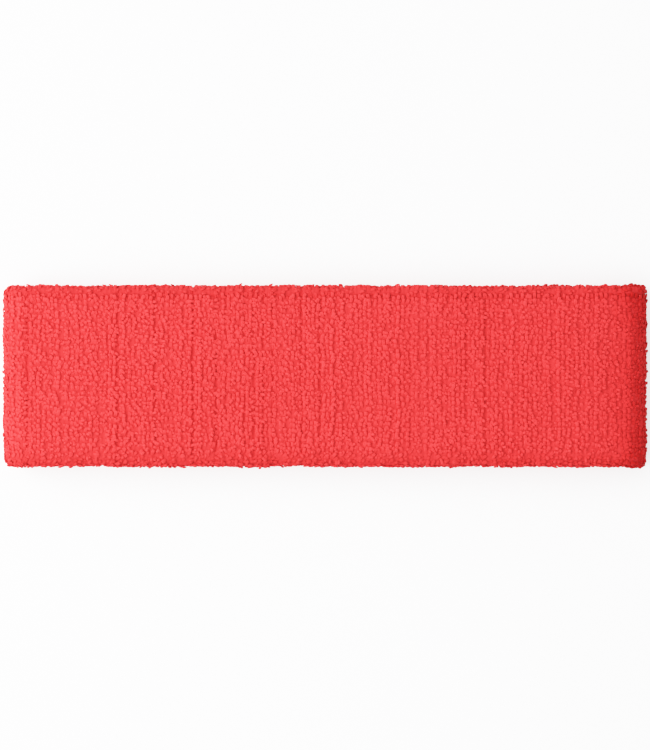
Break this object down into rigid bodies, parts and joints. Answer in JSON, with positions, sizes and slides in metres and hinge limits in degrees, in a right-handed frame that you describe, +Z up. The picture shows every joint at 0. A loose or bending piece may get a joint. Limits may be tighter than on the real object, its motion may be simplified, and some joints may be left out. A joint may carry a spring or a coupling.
{
  "type": "sports headband",
  "caption": "Terry-knit elastic sports headband lying flat: a double-ply tube with looped pile on both faces, laid-in elastic and one overlocked closing seam.",
  "frame": {"origin": "on the surface that the band rests on, under the middle of the flattened loop", "axes": "+X along the flattened loop from fold to fold, +Y across the band from its seamed lower edge to its folded upper edge, +Z up through the band's thickness"},
  "size_m": [0.18, 0.0506, 0.015],
  "materials": {
    "terry_outer": "looped cotton terry, coral red, matt and slightly fuzzy",
    "terry_inner": "looped cotton terry, coral red, matt, on the skin side",
    "ground_knit": "plain-knitted polyester ground cloth, coral red, dull",
    "elastic": "covered elastane yarn, off-white, satin",
    "seam_thread": "spun polyester sewing thread, coral red"
  },
  "bodies": {
    "root": {"terry_pile_outer": "terry_outer", "terry_pile_inner": "terry_inner", "ground_knit": "ground_knit", "elastic_yarn_outer_ply": "elastic", "elastic_yarn_inner_ply": "elastic", "seam_needle_thread": "seam_thread", "seam_upper_looper_thread": "seam_thread", "seam_lower_looper_thread": "seam_thread"}
  },
  "joints": []
}
